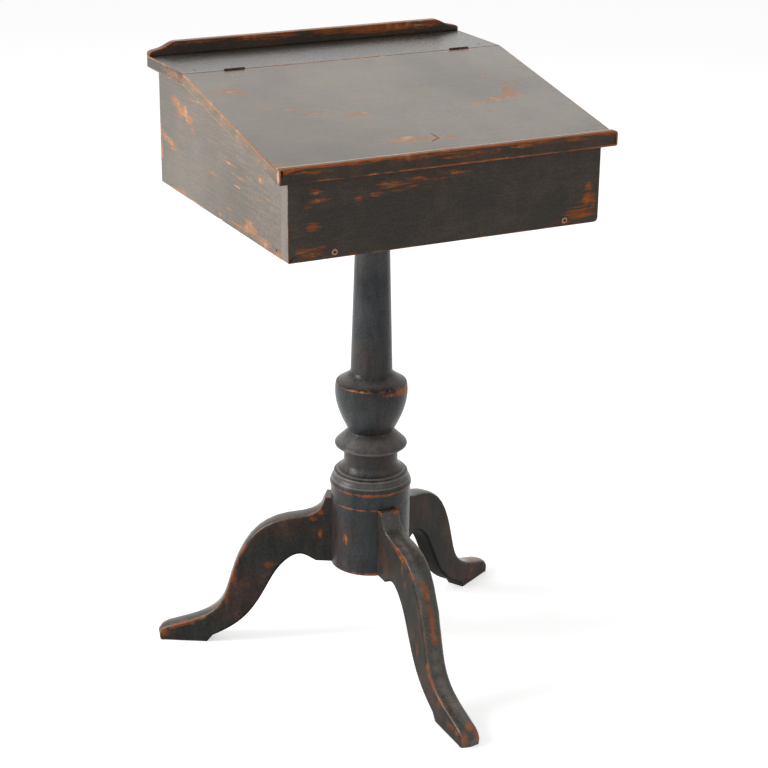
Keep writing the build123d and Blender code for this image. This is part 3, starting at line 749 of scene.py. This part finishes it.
def slope_side_top(piece):
    """Slopes the top of a side under the lid, from the hinge down to the front."""
    cut_across(piece, 1, hinge_y)
    for y in (front_inner, hinge_y):
        lift(piece, lid_seat(y) - top_board_foot,
             lambda v: v.co.z > 1.0 and abs(v.co.y - y * MM) < 1e-4)


front_board = case_board(
    "front_board", (case_left, front, case_foot), (case_right, front_inner, lid_seat(front_inner)),
    (0, 1, 0), shape_front)
# The front board's ends take the lighter side paint, so the painted sheen of the sides runs on
# round the corners.
coat(front_board, side_paint)
finish_faces(front_board, 2, lambda f: abs(f.normal.x) > 0.72)
set_rub(front_board, (lambda p: p.y > (front_inner - 4) * MM, 0.15), (lambda p: p.z > 0.93, 0.3),
        (lambda p: p.x > 0.26, 0.75), (lambda p: p.x < -0.26, 1.05))

left_side = case_board(
    "left_side", (case_left, front_inner, case_foot), (-side_inner, back, top_board_foot),
    (1, 0, 0), slope_side_top)
right_side = case_board(
    "right_side", (side_inner, front_inner, case_foot), (case_right, back, top_board_foot),
    (-1, 0, 0), slope_side_top)
cut_away(left_side, blank((-274, 55, 829), (-269.5, 63, 833)),
         blank((-274, 62, 829), (-271, 68, 831.5)))
case_board("back_board", (-side_inner, back_inner, case_foot),
           (side_inner, back, top_board_foot), (0, -1, 0))
# Both sides take the lighter side paint with its painted sheen, and their back ends the darker case
# paint.
for side_board in (left_side, right_side):
    side_board.data.materials[0] = side_paint
    coat(side_board, case_paint)
    finish_faces(side_board, 2, lambda f: f.normal.y > 0.8)
    set_rub(side_board, (lambda p: p.y < (front_inner + 3) * MM, 0.1), (lambda p: p.z > 0.93, 0.75),
            (lambda p: p.y > 0.3, 1.05), (lambda p: p.z < 0.84, 1.4))

top_board = blank((-board_end, hinge_y + joint, top_board_foot), (board_end, back, case_head))
ease(top_board, 1.3)
cut_away(top_board, *hinge_cutters(1))
smooth(top_board)
dress(top_board, "top_board", "case_wood", top_paint)

# ---------------- gallery rail

gallery_stations = [(0.0, 4.5), (1.2, 7.0), (4.5, 9.0), (12.0, 10.6), (20.0, 12.1), (28.0, 15.0),
                    (35.0, 18.6), (41.0, 21.2), (46.5, gallery_rise)]
gallery_cuts = [1.2, 4.5, 8.0, 12.0, 16.0, 20.0, 24.0, 28.0, 31.5, 35.0, 38.0, 41.0, 44.0, 46.5]
gallery = blank((-board_end, back - gallery_thickness, case_head),
                (board_end, back, case_head + gallery_rise))
for from_end in gallery_cuts:
    cut_across(gallery, 0, from_end - board_end, board_end - from_end)
for from_end in [0.0] + gallery_cuts[:-1]:
    x = board_end - from_end
    height = float(np.interp(from_end, *zip(*gallery_stations)))
    lift(gallery, height - gallery_rise, lambda v: (
        v.co.z > (case_head + 20) * MM and abs(abs(v.co.x) - x * MM) < 2e-4))
ease(gallery, 1.1, inset=1.6, test=lambda e: crisp(e, 40))
set_rub(gallery, (lambda p: p.z < (case_head + 3) * MM, 0.1))
smooth(gallery)
dress(gallery, "gallery_rail", "case_wood", gallery_paint)

# ---------------- lid and its lip


def scratch(start, end, width=1.6):
    """A cutter for a scratch in the writing surface from one place (x, y) to another, in mm."""
    (x0, y0), (x1, y1) = start, end
    middle = Vector(((x0 + x1) / 2, (y0 + y1) / 2, lid_top((y0 + y1) / 2))) * MM
    length = ((x1 - x0) ** 2 + (y1 - y0) ** 2) ** 0.5
    cutter = blank((-length / 2, -width / 2, -0.8), (length / 2, width / 2, 2))
    cutter.rotation_euler = (atan(rake), 0, 0)
    cutter.data.transform(Matrix.Rotation(atan2(y1 - y0, x1 - x0), 4, "Z"))
    cutter.location = middle
    return settled()


lid = blank((-board_end, lid_front, case_head - lid_drop), (board_end, hinge_y - joint, case_head))
lift(lid, lid_top(lid_front) - case_head, lambda v: v.co.y < 0)
lift(lid, lid_top(hinge_y - joint) - case_head, lambda v: v.co.y > 0)
ease(lid, 1.3)
set_rub(lid, (lambda p: p.x < -0.28 and p.z > (lid_top(p.y / MM) - 6) * MM, 1.6),
        (lambda p: p.x < -0.28, 0.8), (lambda p: p.y > 0.15, 0.9), (lambda p: p.y < -0.19, 0.5))
cut_away(lid, *hinge_cutters(-1))
smooth(lid)
cut_away(lid, scratch((-1, -141), (3, -159)), scratch((3, -159), (-14, -168)),
         scratch((-2, -150), (0, -157), 0.8))
coat(lid, lid_paint, inside_wood)
finish_faces(lid, 1, lambda f: f.normal.z < -0.9)
dress(lid, "lid_board", "case_wood", body="lid")

lip = blank((-board_end, lip_front, lip_crest - lip_depth), (board_end, lid_front, lip_crest))
cut_across(lip, 0, -284, -200, -100, 0, 100, 200, 282)
for radius, x, z in ((5.0, board_end, lip_crest), (3.5, board_end, lip_crest - lip_depth),
                     (2.0, -board_end, lip_crest)):
    round_corner(lip, radius, lambda e: runs_back(e, x, z))
ease(lip, 1.5, segments=3, inset=3.5)
set_rub(lip, (lambda p: p.y > (lid_front - 3) * MM and p.z > (lip_crest - 3) * MM, 0.1),
        (lambda p: p.z < (lip_crest - 14) * MM and p.x < -0.2, 0.35),
        (lambda p: p.z < (lip_crest - 20) * MM and p.x < -0.1, 0.5))
smooth(lip)
dress(lip, "lid_lip", "case_wood", lip_paint, body="lid")

# ---------------- turned column

turning = [(171.5, 69.4), (295.0, 69.4), (295.5, 68.6), (296.0, 69.4), (323.5, 69.4), (323.5, 71.2),
           (326.0, 71.2)]
for corners, curve, steps, start, end in (
        ([], [(334.0, 68.4), (341.0, 64.5)], 4, None, None),
        ([(345.0, 64.5), (349.0, 60.0)], [(356.0, 51.0), (366.0, 46.7)], 5, (1, -5), (1, 0)),
        ([(388.0, 46.7), (392.5, 58.5)], [(396.5, 62.9), (400.5, 61.0)], 4, (1, 2), (1, -1)),
        ([(421.8, 38.9)], [(444.0, 49.9), (495.0, 62.7), (510.5, 61.0)], 8, (2, 1), (4, -1)),
        ([(511.3, 60.2)], [(520.0, 46.4), (532.0, 36.0)], 6, (1, -1.8), (1.8, -0.3))):
    turning += corners
    turning += flowing([turning[-1]] + curve, steps, start, end)[1:]
turning += [(802.0, 28.2)]


def guarded(line, near):
    """The turning with rings close inside the ends of its straight runs, and along the longest."""
    out = [line[0]]
    for (z, r), (next_z, next_r) in zip(line, line[1:]):
        run = ((next_z - z) ** 2 + (next_r - r) ** 2) ** 0.5
        if run > 3.2 * near:
            steps = [near / run] + [i / 8 for i in range(1, 8) if run > 60] + [1 - near / run]
            out += [(z + (next_z - z) * t, r + (next_r - r) * t) for t in steps]
        out.append((next_z, next_r))
    return out


turning = guarded(turning, 2.2)

bpy.ops.mesh.primitive_circle_add(
    vertices=112, radius=turning[0][1] * MM, fill_type="NGON",
    location=(0, column_y * MM, turning[0][0] * MM))
column = settled()
with edited(column):
    bpy.ops.mesh.select_all(action="SELECT")
    for (z, r), (next_z, next_r) in zip(turning, turning[1:]):
        draw_out(0, 0, next_z - z)
        bpy.ops.transform.resize(
            value=(next_r / r, next_r / r, 1), center_override=(0, column_y * MM, next_z * MM))
    bpy.ops.mesh.select_all(action="SELECT")
    bpy.ops.mesh.normals_make_consistent(inside=False)
ease(column, 0.5, flat=False, test=lambda e: (
    crisp(e, 28) and abs(e.verts[0].co.z - e.verts[1].co.z) < 1e-5))
set_rub(column, (lambda p: abs(p.z - 0.3235) < 0.001, 0.85),
        (lambda p: abs(p.z - 0.511) < 0.0012, 0.66),
        (lambda p: abs(p.z - 0.3925) < 0.001, 0.62), (lambda p: p.z < 0.173, 0.9),
        (lambda p: abs(p.z - 0.2955) < 0.001 and p.x < -0.02 and p.y < 0.04, 0.7), rest=0.3)
smooth(column, 40)
dress(column, "turned_column", "base_wood", column_paint)

# ---------------- legs

leg_half, crown = 17.5, 2.8
upper = flowing([
    (78.4, 295.5), (85, 276), (103.4, 260.6), (149, 249.3), (198.6, 223.8), (233.6, 171.6),
    (251.5, 117), (268.3, 76.7), (294.3, 53.6), (325.5, 39.5), (357, 29)], 3)
upper += [(366.5, 26.0), (374.5, 21.5), (379.3, 14.0), (380.2, 6.0)]
lower = flowing([
    (283, 13), (227.5, 50), (184.5, 115), (150, 168), (121.5, 182.7), (95, 171.5)], 5,
    (-2, 1), (-2, -1))[::-1]
lower += [(reach, 0) for reach in (293.5, 307, 320, 332, 343, 353, 362, 370.5, 379)]


def at(vert, point):
    """True for a corner at this reach and height of the front leg, in mm."""
    reach, height = point
    return abs(vert.co.y - (column_y - reach) * MM) < 3e-5 and abs(vert.co.z - height * MM) < 3e-5


high, low = (66.0, 295.5), (66.0, 171.5)
leg = blank((-leg_half, column_y - high[0], low[1]), (leg_half, column_y - high[0] + 8, high[1]))
with edited(leg):
    for next_high, next_low in zip(upper, lower):
        pick(leg, "faces", lambda f: all(at(v, high) or at(v, low) for v in f.verts))
        draw_out(0, high[0] - next_high[0], next_high[1] - high[1])
        carried = (low[0] + next_high[0] - high[0], low[1] + next_high[1] - high[1])
        pick(leg, "verts", lambda v: at(v, carried))
        slide(0, carried[0] - next_low[0], next_low[1] - carried[1])
        high, low = next_high, next_low
    bpy.ops.mesh.select_all(action="SELECT")
    bpy.ops.mesh.remove_doubles(threshold=0.00002)
    bpy.ops.mesh.normals_make_consistent(inside=False)

# the top of the leg and the nose of the toe are crowned between the cheeks
cut_across(leg, 0, -9, 0, 9)
with edited(leg):
    for x, rise in ((0, crown), (9, 0.75 * crown)):
        pick(leg, "verts", lambda v: abs(abs(v.co.x) - x * MM) < 1e-5 and any(
            at(v, point) for point in upper[1:-1]))
        bpy.ops.transform.shrink_fatten(value=rise * MM)


def along_arris(edge):
    """The edges down the two cheeks of the leg, round its toe and round its hidden end."""
    a, b = edge.verts
    at_end = min(a.co.y, b.co.y) > (column_y - 59) * MM
    return crisp(edge, 30) and (at_end or abs(a.co.x - b.co.x) < 1e-5 and abs(a.co.x) > 0.017)


def rounding_share(edge):
    """How round the leg's arrises are: crisp at the ledge, round over the knee and the toe."""
    reach = column_y - (edge.verts[0].co.y + edge.verts[1].co.y) / 2 / MM
    if max(v.co.z for v in edge.verts) < 3 * MM:
        return 0.3
    return float(np.interp(reach, (80, 92, 130, 210, 280, 340, 370),
                           (0.2, 0.5, 1.0, 1.0, 0.75, 0.85, 1.25)))


def under_leg(p):
    """True below the middle of the leg's thickness, where nothing rubs it."""
    reach = column_y - p.y / MM
    middle = np.interp(reach, (90, 150, 200, 240, 275, 300), (230, 210, 160, 92, 40, 10))
    return p.z / MM < middle and p.z > 0.004


ease(leg, 5.5, segments=4, inset=2.4, test=along_arris, share=rounding_share)


def draw_toe(piece, from_reaches, pushes):
    """Draws the toe outwards: each push moves what is nearer the middle than its x, by an
    equal share of it from each of the reaches on."""
    with edited(piece):
        for reach in from_reaches:
            for x, push in pushes:
                pick(piece, "verts", lambda v: (
                    abs(v.co.x) < x * MM and v.co.y < (column_y - reach) * MM))
                slide(0, -push / len(from_reaches), 0)


# the toe is round in plan, the crown is filled out between its edges, and the sole is flat
cut_across(leg, 0, -13, -6, -3, 3, 6, 13)
draw_toe(leg, (362, 372), [(10, 0.8), (7, 0.6), (4, 0.5), (2, 0.3)])
with edited(leg):
    for near, far in ((2.5, 6.5), (12, 13.5)):
        pick(leg, "verts", lambda v: near * MM < abs(v.co.x) < far * MM and v.co.z > 3 * MM
             and not under_leg(v.co) and v.co.y < (column_y - 84) * MM)
        bpy.ops.transform.shrink_fatten(value=0.05 * crown * MM)
    pick(leg, "verts", lambda v: v.co.z < 0)
    bpy.ops.transform.resize(value=(1, 1, 0), center_override=(0, 0, 0))

set_rub(leg, (under_leg, 0.12), (lambda p: p.z < 0.15, 0.68), (lambda p: p.z > 0.293, 0.95),
        (lambda p: p.z > 0.256, 0.4), (lambda p: p.z > 0.2, 0.42), rest=0.6)
smooth(leg, 35)
coat(leg, leg_paint, shaded_cheek_paint, shade_under_leg_paint)
# Cheeks and undersides take the darker copies of the leg paint: painted shade.
finish_faces(leg, 1, lambda f: abs(f.normal.x) > 0.85)
finish_faces(leg, 2, lambda f: (
    (f.normal.z < -0.12 or f.normal.y > 0.5) and f.center.y > (column_y - 360) * MM))


def bow_knee(piece):
    """Fills out the knee of a leg on its right-hand side, where the sawn plank was wider."""
    pushes = [(-20, (0.4, 0, 0.5))] + [(x, (0.14, 0, 0.16)) for x in (-1, 2, 5, 8, 11.5)]
    with edited(piece):
        for near, far in ((-0.175, -0.030), (-0.160, -0.042), (-0.146, -0.054), (-0.132, -0.066)):
            for x, push in pushes:
                pick(piece, "verts", lambda v: (
                    v.co.x > x * MM and near < v.co.y < far and not under_leg(v.co)))
                slide(*push)


for side, turn in (("front", -1), ("right", 119), ("left", 239)):
    take_up(leg)
    if side != "left":
        bpy.ops.object.duplicate()
    this_leg = bpy.context.object
    with edited(this_leg):
        bpy.ops.mesh.select_all(action="SELECT")
        bpy.ops.transform.rotate(
            value=radians(-turn), orient_axis="Z", center_override=(0, column_y * MM, 0))
    if side == "front":
        bow_knee(this_leg)
        draw_toe(this_leg, (300, 318, 333, 346, 356), [(30, 8.0)])
    dress(this_leg, f"leg_{side}", "base_wood")

# ---------------- nails and screws


def nails(node, *groups, finish=nail_iron, proud=0.3, body="desk"):
    """Cut nails with hand-struck heads, so many mm proud, as one piece. Each group is the
    places of its nails, the way they face and the way their heads lie across."""
    first = blank((-2.6, -1.3, -1.2), (2.6, 1.3, proud))
    ease(first, 0.35, inset=0.3, test=lambda e: crisp(e) and all(v.co.z > 0 for v in e.verts))
    with edited(first):
        pick(first, "faces", lambda f: f.normal.z < -0.9)
        draw_out(0, 0, -12)
        bpy.ops.transform.resize(value=(0.4, 0.8, 1), center_override=(0, 0, -0.0132))
    made = []
    for places, outward, across in groups:
        out, side = Vector(outward), Vector(across)
        turn = Matrix((side, out.cross(side), out)).transposed().to_4x4()
        for place in places:
            nail = first.copy()
            nail.data = first.data.copy()
            bpy.context.collection.objects.link(nail)
            nail.data.transform(Matrix.Translation(Vector(place) * MM) @ turn)
            made.append(nail)
    bpy.data.objects.remove(first, do_unlink=True)
    dress(joined(made), node, "iron", finish, body=body)


side_middle = 263.5
ends = ((case_left, -1), (case_right, 1))
nails("front_nails", (
    [(x, front, z) for x in (-side_middle, side_middle) for z in (852.0, 893.6, 935.2)],
    (0, -1, 0), (0, 0, 1)))
nails("lip_nails", (
    [(x, lip_front, 966.7) for x in (-271.0, -135.5, 0, 135.5, 271.0)],
    (0, -1, 0), (0, 0, 1)), body="lid")
nails("top_nails", (
    [(x, y, case_head) for x in (-side_middle, side_middle) for y in (181.05, 280.55)],
    (0, 0, 1), (0, 1, 0)))
nails("back_nails", *[
    ([(x, 312.05, z) for z in (871.0, 939.25, 1007.5)], (out, 0, 0), (0, 0, 1))
    for x, out in ends], finish=side_paint, proud=0.05)
nails("bottom_nails", *[
    ([(x, y, bottom_board_z) for y in (-156.45, 37.05, 81.05, 280.55)], (out, 0, 0), (0, 1, 0))
    for x, out in ends],
    ([(x, back, bottom_board_z) for x in (-127.0, 0, 127.0)], (0, 1, 0), (1, 0, 0)),
    finish=side_paint, proud=0.05)


def front_screw(x):
    """A round-headed screw through the front: a rubbed rim round a dark, clogged middle."""
    screw = new_cylinder(4.9, 2.0, (x, front + 0.3, bottom_board_z), (pi / 2, 0, 0))
    ease(screw, 0.5, segments=3, inset=1.6,
         test=lambda e: crisp(e, 60) and all(v.co.y < (front + 0.1) * MM for v in e.verts))
    with edited(screw):
        pick(screw, "faces", lambda f: f.normal.y < -0.9 and f.calc_area() > 5e-6)
        draw_out(0, 0.9, 0)
        bpy.ops.transform.resize(value=(0.8, 1, 0.8))
        pick(screw, "faces", lambda f: f.normal.y > 0.9)
        bpy.ops.mesh.inset(thickness=2.6 * MM)
        draw_out(0, 45, 0)
        bpy.ops.transform.resize(value=(0.5, 1, 0.5))
    coat(screw, screw_metal, hinge_iron)
    centre = Vector((x * MM, 0, bottom_board_z * MM))
    finish_faces(screw, 1, lambda f: f.center.y > (front + 0.1) * MM or (
        abs(f.normal.y) > 0.9 and ((f.center - centre) * Vector((1, 0, 1))).length < MM))
    return screw


dress(joined([front_screw(x) for x in screw_x]), "front_screws", "iron")

# ---------------- ironwork and bare wood

bare = {name: inside_wood for name in ("bottom_front_board", "bottom_rear_board", "tenon_wedge")}
bare["column_block"] = under_wood
for name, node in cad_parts.items():
    iron = name.startswith("hinge") or name.endswith(("nails", "screws"))
    finish = hinge_iron if iron else bare.get(name)
    if finish:
        for material_slot in node.material_slots:
            material_slot.material = finish

# ---------------- floor, light and camera


def seen_rays(tree):
    """1 for rays from the camera or sent on by a gloss or a glass, 0 for all the others."""
    rays = add(tree, "LightPath").outputs
    return most(most(rays["Is Camera Ray"], rays["Is Glossy Ray"]),
                rays["Is Transmission Ray"])


bpy.ops.mesh.primitive_plane_add(size=24, location=(0, 0, 0))
floor = settled()
floor.name = "studio_floor"
paper = bpy.data.materials.new("white_studio_paper")
tree = cleared(paper)
sheet = add(tree, "BsdfDiffuse", {"Color": (0.86, 0.86, 0.86, 1)})
glow = add(tree, "Emission", {"Color": (1, 1, 1, 1), "Strength": times(seen_rays(tree), 0.55)})
both = add(tree, "AddShader", {0: sheet.outputs[0], 1: glow.outputs[0]})
add(tree, "OutputMaterial", {"Surface": both.outputs[0]})
floor.data.materials.append(paper)

world = bpy.data.worlds.new("studio")
bpy.context.scene.world = world
tree = cleared(world)
strength = between(seen_rays(tree), 0.0, 1.0, 0.47, 1.0)
sky = add(tree, "Background", {"Color": (1, 1, 1, 1), "Strength": strength})
add(tree, "OutputWorld", {"Surface": sky.outputs[0]})


def softbox(name, place, aim, width, height, watts):
    """A soft studio lamp at place, turned to aim."""
    lamp = bpy.data.lights.new(name, "AREA")
    lamp.shape, lamp.size, lamp.size_y, lamp.energy = "RECTANGLE", width, height, watts
    holder = bpy.data.objects.new(name, lamp)
    bpy.context.collection.objects.link(holder)
    holder.location = place
    holder.rotation_euler = (Vector(aim) - Vector(place)).to_track_quat("-Z", "Y").to_euler()


softbox("key_lamp", (-3.2, 0.9, 2.1), (0, 0, 0.7), 1.1, 2.4, 92)
softbox("back_lamp", (1.9, 3.0, 3.2), (0, 0, 0.9), 3.0, 2.4, 24)

yaw, dip, roll = radians(27.12), radians(20.87), radians(0.63)
ahead = Vector((sin(yaw) * cos(dip), cos(yaw) * cos(dip), -sin(dip)))
level = Vector((cos(yaw), -sin(yaw), 0))
above = level.cross(ahead)
camera_right = level * cos(roll) + above * sin(roll)
camera_up = above * cos(roll) - level * sin(roll)
camera = bpy.data.objects.new("camera", bpy.data.cameras.new("camera"))
bpy.context.collection.objects.link(camera)
camera.data.lens, camera.data.sensor_width = 92.94, 36.0
stance = Matrix((camera_right, camera_up, -ahead)).transposed().to_4x4()
camera.matrix_world = Matrix.Translation((-1.43335, -2.78721, 1.71932)) @ stance
bpy.context.scene.camera = camera
bpy.context.scene.view_settings.view_transform = "Standard"
